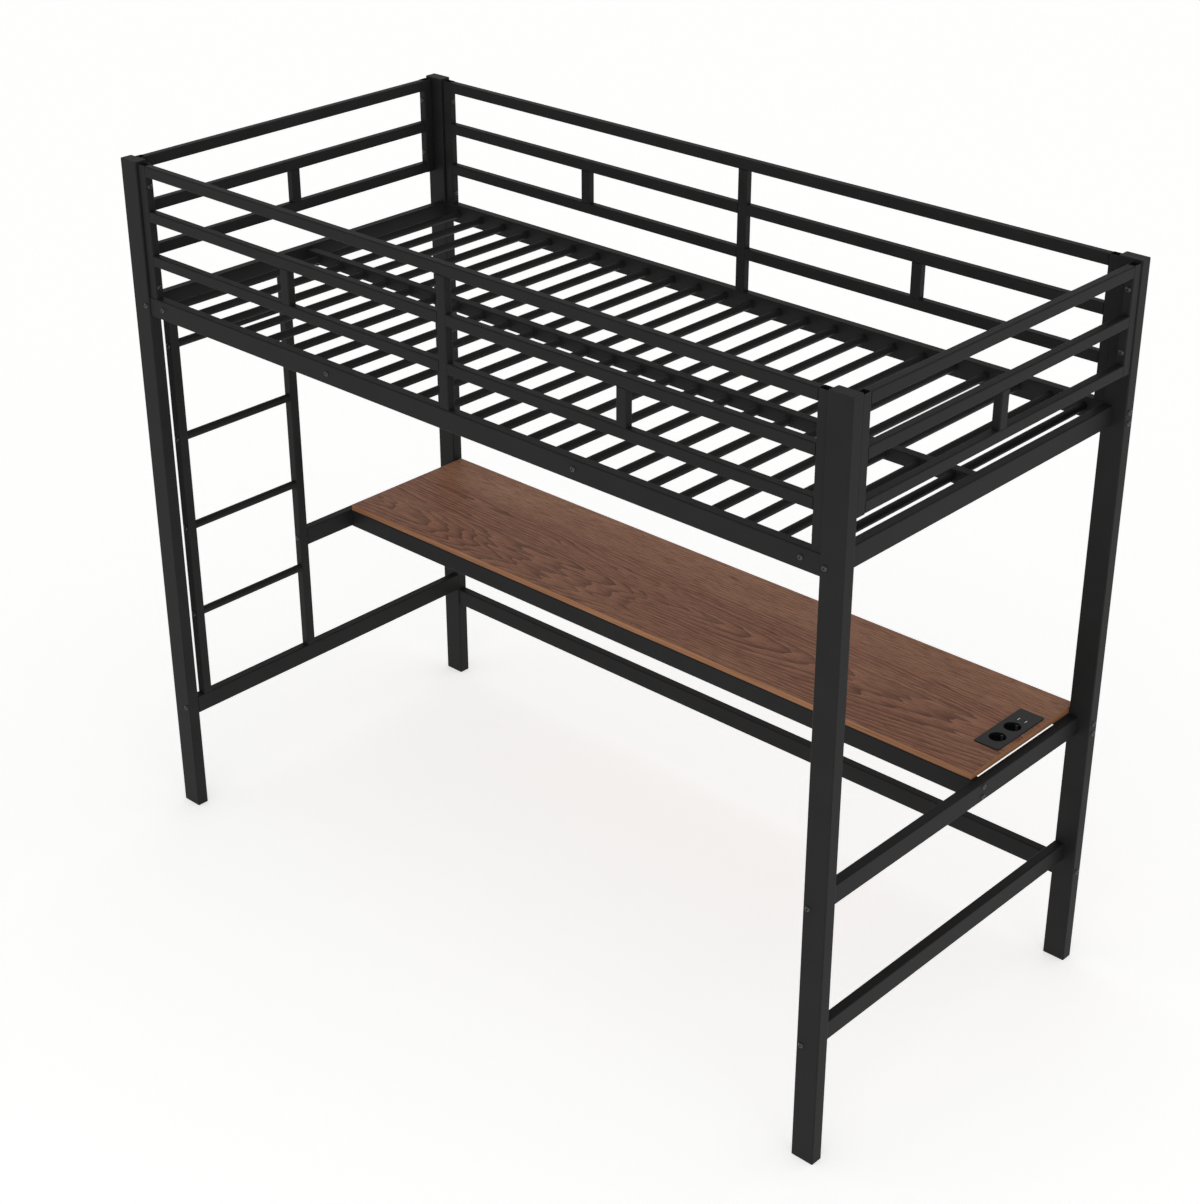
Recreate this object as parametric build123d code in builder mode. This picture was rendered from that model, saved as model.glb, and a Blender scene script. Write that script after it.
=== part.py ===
from build123d import *
import os

# Loft bed with a desk: a bolted frame of rectangular steel tube, a slatted deck with guards all
# round, a fixed ladder in the left end, and a desk board with a power outlet under the deck.
# X runs along the bed, Y from the open front to the wall side, Z up. The origin is on the floor
# under the middle of the bed. All sizes are in millimetres.

LENGTH = 2080
WIDTH = 985
HEIGHT = 1724

# Tube sections: a post is 56 x 31, a rail 47 x 24, a guard tube 26 x 20
POST_ALONG = 56
POST_DEEP = 31
RAIL_TALL = 47
RAIL_DEEP = 24
GUARD_FACE = 26
GUARD_DEEP = 20
WALL = 1.5
CORNER = 3

# Heights of the rails and guards
DECK_TOP = 1402
DESK_RAIL_TOP = 652
LOWER_TOP = 315
BACK_LOWER_TOP = 267.5
GUARD_TOP = HEIGHT - 5
GUARD_PITCH = 106
END_GUARD_INSET = 2
SHORT_BAR_AT = 492

# Deck: a middle beam and round slats on both sides of it
BEAM_DEEP = 25
BEAM_TALL = 30
SLAT_COUNT = 24
SLAT_DIAMETER = 19
SLAT_WALL = 1.2
SLAT_END_GAP = 46.5
SLAT_LEVEL = 1380.5
BEAM_TOP = 1396
BOLTED_SLATS = (0, 7, 16, 23)

# Ladder: two stringers and round rungs, placed from the middle of the bed
STRINGER = 25
STRINGER_FRONT = -441.5
STRINGER_BACK = -92.5
RUNG_DIAMETER = 20
RUNG_FIRST = 543
RUNG_PITCH = 240
RUNG_COUNT = 4

# Desk
DESK_FRONT_RAIL = 83.5
BOARD_LONG = 1964
BOARD_SHIFT = 0
BOARD_FRONT = 85.5
BOARD_BACK = 487.5
BOARD_THICK = 15
EDGE_BAND = 1

# Power outlet let into the right end of the board
OUTLET_X = 939
OUTLET_Y = 291.5
OUTLET_ALONG = 64
OUTLET_DEEP = 184
OUTLET_PROUD = 2.5
OUTLET_CORNER = 7
HOUSING_WALL = 2
HOUSING_RIM = 3.5
HOUSING_DROP = 32
SOCKET_DIAMETER = 39
SOCKET_DEPTH = 15
SOCKET_SHIFTS = (-46, 12)
SOCKET_WALL = 2
PIN_HOLE = 5
PIN_SPACING = 19
USB_SHIFT = 50
USB_SPACING = 19
USB_LONG = 12.5
USB_TALL = 5
USB_DEEP = 14
USB_SKIN = 0.6
TONGUE_THICK = 2
TONGUE_SETBACK = 0.5
TONGUE_OFFSET = 0.6
USB_BOARD_DEEP = 26
USB_BOARD_THICK = 1.6
USB_BOARD_MARGIN = 1
SLEEVE_WALL = 1.2
SLEEVE_LONG = 12
CLIP_WIDE = 6
CLIP_THICK = 1.2
CLIP_TALL = 10
CLIP_SET_IN = 0.4
CLIP_ROUND = 0.5
GLAND_BORE = 7
GLAND_NECK = 11
GLAND_COLLAR = 15
GLAND_LONG = 14
GLAND_LIP = 1.2
GLAND_CLEAR = 0.5
GLAND_TAIL = 2

# Fasteners and the parts inside the tubes
BOLT = 6
BOLT_HOLE = 6.4
BOLT_HEAD = 13
BOLT_DOME = 3.5
BOLT_HEX = 4
BOLT_HEX_DEEP = 2
DOME_EDGE = 0.2
DOME_TURN = (0.37, 0.76)
DOME_FLAT = 0.2
PAIR_HALF = 12.5
GUARD_BOLT_DROP = 49
GUARD_BOLT_RISE = 27
END_BOLT_DROPS = (51, 186)
NUT_PLUG = 14
NUT_PLATE = 4
NUT_PLATE_SIDE = 16
FIT_GAP = 0.1
FOOT_THICK = 3
CAP_THICK = 2
INSERT_WALL = 2
INSERT_REACH = 18
BRACKET_LONG = 40
BRACKET_THICK = 3
BRACKET_BOLT_END = 8
SCREW = 4
SCREW_HEAD = 8
SCREW_HEAD_TALL = 2.4
SCREW_BITE = 11
SCREW_SPREAD = 0.42
SCREW_EDGE = 0.6

# Planes and centre lines worked out from the sizes above
X_OUT = LENGTH / 2
X_IN = X_OUT - POST_ALONG
Y_OUT = WIDTH / 2
Y_IN = Y_OUT - POST_DEEP
POST_Y = Y_OUT - POST_DEEP / 2
RAIL_IN = POST_Y - RAIL_DEEP / 2
RAIL_OUT = POST_Y + RAIL_DEEP / 2
END_RAIL_OUT = X_IN + RAIL_DEEP
END_RAIL_X = X_IN + RAIL_DEEP / 2
GUARD_IN = POST_Y - GUARD_DEEP / 2
GUARD_OUT = POST_Y + GUARD_DEEP / 2
END_GUARD_OUT = X_OUT - END_GUARD_INSET
END_GUARD_IN = END_GUARD_OUT - GUARD_DEEP
END_GUARD_X = END_GUARD_OUT - GUARD_DEEP / 2
DECK_MID = DECK_TOP - RAIL_TALL / 2
DESK_MID = DESK_RAIL_TOP - RAIL_TALL / 2
LOWER_MID = LOWER_TOP - RAIL_TALL / 2
BACK_LOWER_MID = BACK_LOWER_TOP - RAIL_TALL / 2
GUARD_LEVELS = [GUARD_TOP - GUARD_PITCH * step for step in range(3)]
GUARD_BOLT_LEVELS = (GUARD_TOP - GUARD_BOLT_DROP, DECK_TOP + GUARD_BOLT_RISE)
END_BOLT_LEVELS = [GUARD_TOP - drop for drop in END_BOLT_DROPS]
SLAT_PITCH = (2 * X_IN - 2 * SLAT_END_GAP) / (SLAT_COUNT - 1)
SLAT_STATIONS = [-X_IN + SLAT_END_GAP + SLAT_PITCH * step for step in range(SLAT_COUNT)]
RUNG_LEVELS = [RUNG_FIRST + RUNG_PITCH * step for step in range(RUNG_COUNT)]
BOARD_TOP = DESK_RAIL_TOP + BOARD_THICK
BOARD_LEFT = BOARD_SHIFT - BOARD_LONG / 2
BOARD_RIGHT = BOARD_SHIFT + BOARD_LONG / 2

os.makedirs("parts", exist_ok=True)


def section_plane(start, along):
    """The plane across a tube that starts at a point and runs along X, Y or Z."""
    if along == "X":
        return Plane(origin=start, x_dir=(0, 1, 0), z_dir=(1, 0, 0))
    if along == "Y":
        return Plane(origin=start, x_dir=(-1, 0, 0), z_dir=(0, 1, 0))
    return Plane(origin=start, x_dir=(1, 0, 0), z_dir=(0, 0, 1))


def facing(x, y, z, way):
    """The plane of a face: its origin is the middle of a hole, and its normal is the way out."""
    return Plane(origin=(x, y, z), z_dir=way)


def box_tube(low, high, along, holes=(), hole_deep=RAIL_TALL + 1):
    """A rectangular steel tube that fills the box from low to high, with its bolt holes."""
    size = Vector(*high) - Vector(*low)
    middle = (Vector(*high) + Vector(*low)) / 2
    run = {"X": Vector(size.X, 0, 0), "Y": Vector(0, size.Y, 0), "Z": Vector(0, 0, size.Z)}[along]
    across, up = {"X": (size.Y, size.Z), "Y": (size.X, size.Z), "Z": (size.X, size.Y)}[along]
    with BuildPart() as tube:
        with BuildSketch(section_plane(middle - run / 2, along)):
            RectangleRounded(across, up, CORNER)
            RectangleRounded(across - 2 * WALL, up - 2 * WALL, CORNER - WALL, mode=Mode.SUBTRACT)
        extrude(amount=run.length)
        for hole in holes:
            with Locations(hole):
                Hole(BOLT_HOLE / 2, depth=hole_deep)
    return tube.part


def round_tube(start, length, diameter):
    """A round steel tube along Y."""
    with BuildPart() as tube:
        with BuildSketch(section_plane(start, "Y")):
            Circle(diameter / 2)
            Circle(diameter / 2 - SLAT_WALL, mode=Mode.SUBTRACT)
        extrude(amount=length)
    return tube.part


def button_bolt(reach):
    """A domed socket bolt: the underside of its head is on the origin, its shank runs down."""
    with BuildPart() as bolt:
        with BuildSketch(Plane.XZ):
            with BuildLine():
                Polyline((0, BOLT_DOME), (0, -reach), (BOLT / 2, -reach), (BOLT / 2, 0), (BOLT_HEAD / 2, 0))
                Line((BOLT_HEAD / 2, 0), (BOLT_HEAD / 2, BOLT_DOME * DOME_EDGE))
                ThreePointArc(
                    (BOLT_HEAD / 2, BOLT_DOME * DOME_EDGE),
                    (BOLT_HEAD * DOME_TURN[0], BOLT_DOME * DOME_TURN[1]),
                    (BOLT_HEAD * DOME_FLAT, BOLT_DOME),
                )
                Line((BOLT_HEAD * DOME_FLAT, BOLT_DOME), (0, BOLT_DOME))
            make_face()
        revolve(axis=Axis.Z)
        with BuildSketch(Plane.XY.offset(BOLT_DOME)):
            RegularPolygon(BOLT_HEX / 2, 6, major_radius=False)
        extrude(amount=-BOLT_HEX_DEEP, mode=Mode.SUBTRACT)
    return bolt.part


def wood_screw(reach):
    """A pan head screw with its head below the origin and its shank running up."""
    with BuildPart() as screw:
        Cylinder(SCREW / 2, reach, align=(Align.CENTER, Align.CENTER, Align.MIN))
        Cylinder(SCREW_HEAD / 2, SCREW_HEAD_TALL, align=(Align.CENTER, Align.CENTER, Align.MAX))
        chamfer(screw.edges().filter_by(GeomType.CIRCLE).sort_by(Axis.Z)[0], SCREW_EDGE)
    return screw.part


def nut_block(across, up, bores):
    """A steel block that sits welded in a tube end, flush with it, with threaded bores."""
    with BuildPart() as block:
        with BuildSketch(Plane.XY):
            RectangleRounded(across - 2 * WALL - FIT_GAP, up - 2 * WALL - FIT_GAP, CORNER - WALL)
        extrude(amount=-NUT_PLUG)
        with Locations(*[(0, shift) for shift in bores]):
            Hole(BOLT / 2 + FIT_GAP)
    return block.part


def round_nut(diameter):
    """A round steel plug for the end of a slat or a rung, with a threaded bore."""
    with BuildPart() as plug:
        radius = diameter / 2 - SLAT_WALL - FIT_GAP
        Cylinder(radius, NUT_PLUG, align=(Align.CENTER, Align.CENTER, Align.MAX))
        Hole(BOLT / 2 + FIT_GAP)
    return plug.part


def nut_plate():
    """A small threaded plate welded inside a post, behind the hole of a guard bolt."""
    with BuildPart() as plate:
        Box(NUT_PLATE_SIDE, NUT_PLATE_SIDE, NUT_PLATE, align=(Align.CENTER, Align.CENTER, Align.MAX))
        Hole(BOLT / 2 + FIT_GAP)
    return plate.part


def placed(piece, places):
    """Copies of one piece, each with its own origin on a plane."""
    return [piece.moved(place.location) for place in places]


def write_part(label, part):
    """Label one finished piece and write its STEP file."""
    part.label = label
    export_step(part, f"parts/{label}.step")


def write_group(label, pieces):
    """Write like pieces, or the tubes of one welded frame, as separate solids of one node."""
    export_step(Compound(label=label, children=pieces), f"parts/{label}.step")


# Places of the bolts: the middle of each head's seat and the way that it faces
front_post_bolts = [
    facing(END_RAIL_X, -Y_OUT, level, (0, -1, 0))
    for level in (LOWER_MID, DESK_MID, DECK_MID)
]
front_post_bolts += [facing(-END_RAIL_X, -Y_OUT, level, (0, -1, 0)) for level in (LOWER_MID, DECK_MID)]
rear_post_bolts = [
    facing(side * END_RAIL_X, Y_OUT, level, (0, 1, 0))
    for side in (-1, 1)
    for level in (LOWER_MID, DESK_MID, DECK_MID)
]
pair_levels = [middle + shift for middle in (DESK_MID, DECK_MID) for shift in (-PAIR_HALF, PAIR_HALF)]
end_post_bolts = [
    facing(side * X_OUT, POST_Y, level, (side, 0, 0))
    for side in (-1, 1)
    for level in [BACK_LOWER_MID] + pair_levels
]
guard_bolts = [
    facing(side * (X_IN - GUARD_FACE), depth * POST_Y, level, (-side, 0, 0))
    for side in (-1, 1)
    for depth in (-1, 1)
    for level in GUARD_BOLT_LEVELS
]
end_guard_bolts = [
    facing(side * END_GUARD_X, depth * (Y_IN - GUARD_FACE), level, (0, -depth, 0))
    for side in (-1, 1)
    for depth in (-1, 1)
    for level in END_BOLT_LEVELS
]
slat_bolts = [
    facing(SLAT_STATIONS[slat], depth * RAIL_OUT, SLAT_LEVEL, (0, depth, 0))
    for depth in (-1, 1)
    for slat in BOLTED_SLATS
]
rung_bolts = [facing(-END_RAIL_X, STRINGER_FRONT, level, (0, -1, 0)) for level in RUNG_LEVELS]
rung_bolts += [facing(-END_RAIL_X, STRINGER_BACK + STRINGER, level, (0, 1, 0)) for level in RUNG_LEVELS]
desk_rail_bolts = [
    facing(side * END_RAIL_OUT, DESK_FRONT_RAIL + RAIL_DEEP / 2, DESK_MID + shift, (side, 0, 0))
    for side in (-1, 1)
    for shift in (-PAIR_HALF, PAIR_HALF)
]
stringer_bolt = [facing(-END_RAIL_X, STRINGER_BACK, DESK_MID, (0, -1, 0))]


def post(side, depth):
    """One corner post, drilled for the bolts that pass through it or end in it."""
    low = (min(side * X_IN, side * X_OUT), min(depth * Y_IN, depth * Y_OUT), FOOT_THICK)
    high = (max(side * X_IN, side * X_OUT), max(depth * Y_IN, depth * Y_OUT), HEIGHT - CAP_THICK)
    through = [
        place
        for place in front_post_bolts + rear_post_bolts + end_post_bolts
        if place.origin.X * side > 0 and place.origin.Y * depth > 0
    ]
    tube = box_tube(low, high, "Z", through, POST_ALONG + 1)
    one_wall = [facing(side * X_IN, depth * POST_Y, level, (-side, 0, 0)) for level in GUARD_BOLT_LEVELS]
    one_wall += [
        facing(side * END_GUARD_X, depth * Y_IN, level, (0, -depth, 0))
        for level in END_BOLT_LEVELS
    ]
    with BuildPart() as drilled:
        add(tube)
        for place in one_wall:
            with Locations(place):
                Hole(BOLT_HOLE / 2, depth=3 * WALL)
    return drilled.part


def end_plug(thick):
    """A plastic plug for a post end: a plate the size of the post and a hollow insert below it."""
    with BuildPart() as plug:
        with BuildSketch(Plane.XY):
            RectangleRounded(POST_ALONG, POST_DEEP, CORNER)
        extrude(amount=thick)
        with BuildSketch(Plane.XY):
            inner_long = POST_ALONG - 2 * WALL - 2 * FIT_GAP
            inner_deep = POST_DEEP - 2 * WALL - 2 * FIT_GAP
            RectangleRounded(inner_long, inner_deep, CORNER - WALL)
            Rectangle(inner_long - 2 * INSERT_WALL, inner_deep - 2 * INSERT_WALL, mode=Mode.SUBTRACT)
        extrude(amount=-INSERT_REACH)
        fillet(plug.faces().sort_by(Axis.Z)[-1].edges(), 1)
    return plug.part


cap_planes = []
for side, side_name in ((-1, "left"), (1, "right")):
    for depth, depth_name in ((-1, "front"), (1, "back")):
        name = f"{depth_name}_{side_name}_post"
        middle = (side * (X_OUT - POST_ALONG / 2), depth * POST_Y)
        write_part(name, post(side, depth))
        foot_plane = Plane(origin=(*middle, FOOT_THICK), x_dir=(1, 0, 0), z_dir=(0, 0, -1))
        write_part(f"{name}_foot", placed(end_plug(FOOT_THICK), [foot_plane])[0])
        cap_planes.append(Plane(origin=(*middle, HEIGHT - CAP_THICK), z_dir=(0, 0, 1)))
write_group("post_top_caps", placed(end_plug(CAP_THICK), cap_planes))


def side_guard(depth):
    """A long guard: end bars and a middle upright, a top rail, two lower rails, two short bars."""
    near, far = sorted((depth * GUARD_IN, depth * GUARD_OUT))
    bar_in = X_IN - GUARD_FACE
    top, second, third = GUARD_LEVELS
    bolts = [place for place in guard_bolts if place.origin.Y * depth > 0]
    tubes = []
    for side in (-1, 1):
        left, right = sorted((side * bar_in, side * X_IN))
        holes = [place for place in bolts if place.origin.X * side > 0]
        tubes.append(box_tube((left, near, DECK_TOP), (right, far, top), "Z", holes))
        inner, outer = sorted((side * GUARD_FACE / 2, side * bar_in))
        for level in (second, third):
            tubes.append(box_tube((inner, near, level - GUARD_FACE), (outer, far, level), "X"))
        bar_left = side * SHORT_BAR_AT - GUARD_FACE / 2
        short_low = (bar_left, near, third)
        short_high = (bar_left + GUARD_FACE, far, second - GUARD_FACE)
        tubes.append(box_tube(short_low, short_high, "Z"))
    tubes.append(box_tube((-bar_in, near, top - GUARD_FACE), (bar_in, far, top), "X"))
    tubes.append(box_tube((-GUARD_FACE / 2, near, DECK_TOP), (GUARD_FACE / 2, far, top - GUARD_FACE), "Z"))
    return tubes


def end_guard(side):
    """A short guard across one end: two end bars, three rails and a short bar in the middle."""
    left, right = sorted((side * END_GUARD_IN, side * END_GUARD_OUT))
    bar_in = Y_IN - GUARD_FACE
    top, second, third = GUARD_LEVELS
    bolts = [place for place in end_guard_bolts if place.origin.X * side > 0]
    tubes = []
    for depth in (-1, 1):
        near, far = sorted((depth * bar_in, depth * Y_IN))
        holes = [place for place in bolts if place.origin.Y * depth > 0]
        tubes.append(box_tube((left, near, third - GUARD_FACE), (right, far, top), "Z", holes))
    for level in GUARD_LEVELS:
        tubes.append(box_tube((left, -bar_in, level - GUARD_FACE), (right, bar_in, level), "Y"))
    short_low = (left, -GUARD_FACE / 2, third)
    short_high = (right, GUARD_FACE / 2, second - GUARD_FACE)
    tubes.append(box_tube(short_low, short_high, "Z"))
    return tubes


write_group("front_guard", side_guard(-1))
write_group("back_guard", side_guard(1))
write_group("left_end_guard", end_guard(-1))
write_group("right_end_guard", end_guard(1))


# Long rails between the posts
def long_rail(near, far, top, holes=()):
    """A rail along the bed, from post to post or from desk rail to desk rail."""
    return box_tube((-X_IN, near, top - RAIL_TALL), (X_IN, far, top), "X", holes)


front_slat_bolts = [place for place in slat_bolts if place.origin.Y < 0]
back_slat_bolts = [place for place in slat_bolts if place.origin.Y > 0]
write_part("front_side_rail", long_rail(-RAIL_OUT, -RAIL_IN, DECK_TOP, front_slat_bolts))
write_part("back_side_rail", long_rail(RAIL_IN, RAIL_OUT, DECK_TOP, back_slat_bolts))
write_part("back_lower_rail", long_rail(RAIL_IN, RAIL_OUT, BACK_LOWER_TOP))

board_middle = (BOARD_FRONT + BOARD_BACK) / 2
screw_stations = (-SCREW_SPREAD * BOARD_LONG, 0, SCREW_SPREAD * BOARD_LONG)
front_screw_y = DESK_FRONT_RAIL + RAIL_DEEP / 2
board_screws = [
    Plane(origin=(station, line, DESK_RAIL_TOP - RAIL_TALL), z_dir=(0, 0, 1))
    for line in (front_screw_y, POST_Y)
    for station in screw_stations
]
front_screws = [facing(station, front_screw_y, DESK_RAIL_TOP, (0, 0, 1)) for station in screw_stations]
back_screws = [facing(station, POST_Y, DESK_RAIL_TOP, (0, 0, 1)) for station in screw_stations]
desk_far = DESK_FRONT_RAIL + RAIL_DEEP
write_part("front_desk_rail", long_rail(DESK_FRONT_RAIL, desk_far, DESK_RAIL_TOP, front_screws))
write_part("back_desk_rail", long_rail(RAIL_IN, RAIL_OUT, DESK_RAIL_TOP, back_screws))


# Rails across the two ends
def cross_rail(side, top, near=-Y_IN, holes=()):
    """A rail across one end, flush with the posts' inner faces."""
    left, right = sorted((side * X_IN, side * END_RAIL_OUT))
    return box_tube((left, near, top - RAIL_TALL), (right, Y_IN, top), "Y", holes)


left_desk_bolts = [place for place in desk_rail_bolts if place.origin.X < 0]
right_desk_bolts = [place for place in desk_rail_bolts if place.origin.X > 0]
write_part("left_deck_rail", cross_rail(-1, DECK_TOP))
write_part("right_deck_rail", cross_rail(1, DECK_TOP))
write_part("left_lower_rail", cross_rail(-1, LOWER_TOP))
write_part("right_lower_rail", cross_rail(1, LOWER_TOP))
write_part("right_desk_rail", cross_rail(1, DESK_RAIL_TOP, holes=right_desk_bolts))
write_part("left_desk_rail", cross_rail(-1, DESK_RAIL_TOP, STRINGER_BACK + STRINGER, left_desk_bolts))

# Deck beam and slats
beam_low = (-X_IN, -BEAM_DEEP / 2, BEAM_TOP - BEAM_TALL)
beam_seats = [facing(side * (X_IN - BRACKET_LONG / 2), 0, beam_low[2], (0, 0, -1)) for side in (-1, 1)]
beam = box_tube(beam_low, (X_IN, BEAM_DEEP / 2, BEAM_TOP), "X", beam_seats, 3 * WALL)
write_part("centre_beam", beam)

with BuildPart() as beam_bracket:
    Box(BRACKET_LONG, BEAM_DEEP, BRACKET_THICK, align=(Align.CENTER, Align.CENTER, Align.MAX))
    Hole(BOLT_HOLE / 2)
bracket_planes = [Plane(origin=seat.origin, z_dir=(0, 0, 1)) for seat in beam_seats]
write_group("beam_brackets", placed(beam_bracket.part, bracket_planes))

slat_run = RAIL_IN - BEAM_DEEP / 2
slat_starts = {"front_slats": -RAIL_IN, "back_slats": BEAM_DEEP / 2}
for label, start in slat_starts.items():
    write_group(label, [round_tube((x, start, SLAT_LEVEL), slat_run, SLAT_DIAMETER) for x in SLAT_STATIONS])

# Ladder
stringer_top = DECK_TOP - RAIL_TALL
front_stringer_holes = [place for place in rung_bolts if place.origin.Y < STRINGER_BACK]
back_stringer_holes = [place for place in rung_bolts if place.origin.Y > STRINGER_BACK] + stringer_bolt
for label, near, holes in (
    ("ladder_front_stringer", STRINGER_FRONT, front_stringer_holes),
    ("ladder_back_stringer", STRINGER_BACK, back_stringer_holes),
):
    low = (-END_RAIL_OUT, near, LOWER_TOP)
    high = (-X_IN, near + STRINGER, stringer_top)
    write_part(label, box_tube(low, high, "Z", holes))

rung_start = STRINGER_FRONT + STRINGER
for number, level in enumerate(RUNG_LEVELS, start=1):
    rung = round_tube((-END_RAIL_X, rung_start, level), STRINGER_BACK - rung_start, RUNG_DIAMETER)
    write_part(f"ladder_rung_{number}", rung)

# Bolts, as groups of one length each
write_group("front_post_bolts", placed(button_bolt(POST_DEEP + NUT_PLUG), front_post_bolts))
write_group("rear_post_bolts", placed(button_bolt(POST_DEEP + NUT_PLUG), rear_post_bolts))
write_group("end_post_bolts", placed(button_bolt(POST_ALONG + NUT_PLUG), end_post_bolts))
guard_bolt = button_bolt(GUARD_FACE + WALL + NUT_PLATE)
write_group("guard_bolts", placed(guard_bolt, guard_bolts + end_guard_bolts))
write_group("slat_bolts", placed(button_bolt(RAIL_DEEP + NUT_PLUG), slat_bolts))
write_group("rung_bolts", placed(button_bolt(STRINGER + NUT_PLUG), rung_bolts))
write_group("desk_rail_bolts", placed(button_bolt(RAIL_DEEP + NUT_PLUG), desk_rail_bolts + stringer_bolt))
beam_bolt_seats = [
    facing(seat.origin.X, 0, seat.origin.Z - BRACKET_THICK, (0, 0, -1))
    for seat in beam_seats
]
write_group("beam_bolts", placed(button_bolt(BRACKET_THICK + WALL + BRACKET_BOLT_END), beam_bolt_seats))
write_group("board_screws", placed(wood_screw(RAIL_TALL + SCREW_BITE), board_screws))

# Threaded blocks and plates inside the tubes
single_block = nut_block(RAIL_DEEP, RAIL_TALL, (0,))
pair_block = nut_block(RAIL_DEEP, RAIL_TALL, (-PAIR_HALF, PAIR_HALF))


def tube_end(x, y, z, way):
    """The plane of a tube's end, with its Y axis upright."""
    return Plane(origin=(x, y, z), x_dir=(abs(way[1]), abs(way[0]), 0), z_dir=way)


cross_ends = [
    tube_end(side * END_RAIL_X, depth * Y_IN, level, (0, depth, 0))
    for side in (-1, 1)
    for depth in (-1, 1)
    for level in (LOWER_MID, DECK_MID)
]
cross_ends += [tube_end(END_RAIL_X, depth * Y_IN, DESK_MID, (0, depth, 0)) for depth in (-1, 1)]
cross_ends.append(tube_end(-END_RAIL_X, Y_IN, DESK_MID, (0, 1, 0)))
cross_ends.append(tube_end(-END_RAIL_X, STRINGER_BACK + STRINGER, DESK_MID, (0, -1, 0)))
long_single_ends = [tube_end(side * X_IN, POST_Y, BACK_LOWER_MID, (side, 0, 0)) for side in (-1, 1)]
write_group("rail_end_nuts", placed(single_block, cross_ends + long_single_ends))

long_pair_ends = [
    tube_end(side * X_IN, line, level, (side, 0, 0))
    for side in (-1, 1)
    for line, level in ((POST_Y, DECK_MID), (POST_Y, DESK_MID), (front_screw_y, DESK_MID))
]
write_group("side_rail_end_nuts", placed(pair_block, long_pair_ends))

slat_plug_planes = [
    facing(SLAT_STATIONS[slat], depth * RAIL_IN, SLAT_LEVEL, (0, depth, 0))
    for depth in (-1, 1)
    for slat in BOLTED_SLATS
]
write_group("slat_end_plugs", placed(round_nut(SLAT_DIAMETER), slat_plug_planes))

rung_plug_planes = [
    facing(-END_RAIL_X, line, level, (0, way, 0))
    for line, way in ((rung_start, -1), (STRINGER_BACK, 1))
    for level in RUNG_LEVELS
]
write_group("rung_end_plugs", placed(round_nut(RUNG_DIAMETER), rung_plug_planes))

plate_planes = [
    facing(side * (X_IN + WALL), depth * POST_Y, level, (-side, 0, 0))
    for side in (-1, 1)
    for depth in (-1, 1)
    for level in GUARD_BOLT_LEVELS
]
plate_planes += [
    facing(side * END_GUARD_X, depth * (Y_IN + WALL), level, (0, -depth, 0))
    for side in (-1, 1)
    for depth in (-1, 1)
    for level in END_BOLT_LEVELS
]
write_group("post_nut_plates", placed(nut_plate(), plate_planes))

# Desk board with its edge bands and the cutout for the outlet
cutout_along = OUTLET_ALONG - 2 * HOUSING_RIM
cutout_deep = OUTLET_DEEP - 2 * HOUSING_RIM
with BuildPart() as desk_board:
    with BuildSketch(Plane.XY.offset(DESK_RAIL_TOP)):
        with Locations((BOARD_SHIFT, board_middle)):
            Rectangle(BOARD_LONG - 2 * EDGE_BAND, BOARD_BACK - BOARD_FRONT - 2 * EDGE_BAND)
        with Locations((OUTLET_X, OUTLET_Y)):
            RectangleRounded(cutout_along, cutout_deep, OUTLET_CORNER - HOUSING_RIM, mode=Mode.SUBTRACT)
    extrude(amount=BOARD_THICK)
    for screw_place in board_screws:
        with Locations((screw_place.origin.X, screw_place.origin.Y, DESK_RAIL_TOP + SCREW_BITE)):
            Hole(SCREW / 2 + FIT_GAP, depth=SCREW_BITE)
write_part("desk_board", desk_board.part)


def edge_band(low_x, high_x, low_y, high_y):
    """A thin strip glued along one edge of the board."""
    with BuildPart() as band:
        with BuildSketch(Plane.XY.offset(DESK_RAIL_TOP)):
            with Locations(((low_x + high_x) / 2, (low_y + high_y) / 2)):
                Rectangle(high_x - low_x, high_y - low_y)
        extrude(amount=BOARD_THICK)
    return band.part


bands = [
    edge_band(BOARD_LEFT, BOARD_RIGHT, BOARD_FRONT, BOARD_FRONT + EDGE_BAND),
    edge_band(BOARD_LEFT, BOARD_RIGHT, BOARD_BACK - EDGE_BAND, BOARD_BACK),
    edge_band(BOARD_LEFT, BOARD_LEFT + EDGE_BAND, BOARD_FRONT + EDGE_BAND, BOARD_BACK - EDGE_BAND),
    edge_band(BOARD_RIGHT - EDGE_BAND, BOARD_RIGHT, BOARD_FRONT + EDGE_BAND, BOARD_BACK - EDGE_BAND),
]
write_group("desk_edge_bands", bands)

# Power outlet: faceplate, housing, two round socket wells, two USB ports
well_radius = SOCKET_DIAMETER / 2
socket_places = [(OUTLET_X, OUTLET_Y + shift) for shift in SOCKET_SHIFTS]
usb_places = [(OUTLET_X + shift, OUTLET_Y + USB_SHIFT) for shift in (-USB_SPACING / 2, USB_SPACING / 2)]
well_floor = BOARD_TOP + OUTLET_PROUD - SOCKET_DEPTH

with BuildPart() as outlet_faceplate:
    with BuildSketch(Plane.XY.offset(BOARD_TOP)):
        with Locations((OUTLET_X, OUTLET_Y)):
            RectangleRounded(OUTLET_ALONG, OUTLET_DEEP, OUTLET_CORNER)
        with Locations(*socket_places):
            Circle(well_radius, mode=Mode.SUBTRACT)
        with Locations(*usb_places):
            Rectangle(USB_TALL, USB_LONG, mode=Mode.SUBTRACT)
    extrude(amount=OUTLET_PROUD)
    chamfer(outlet_faceplate.faces().sort_by(Axis.Z)[-1].outer_wire().edges(), 0.8)
write_part("outlet_faceplate", outlet_faceplate.part)

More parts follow.
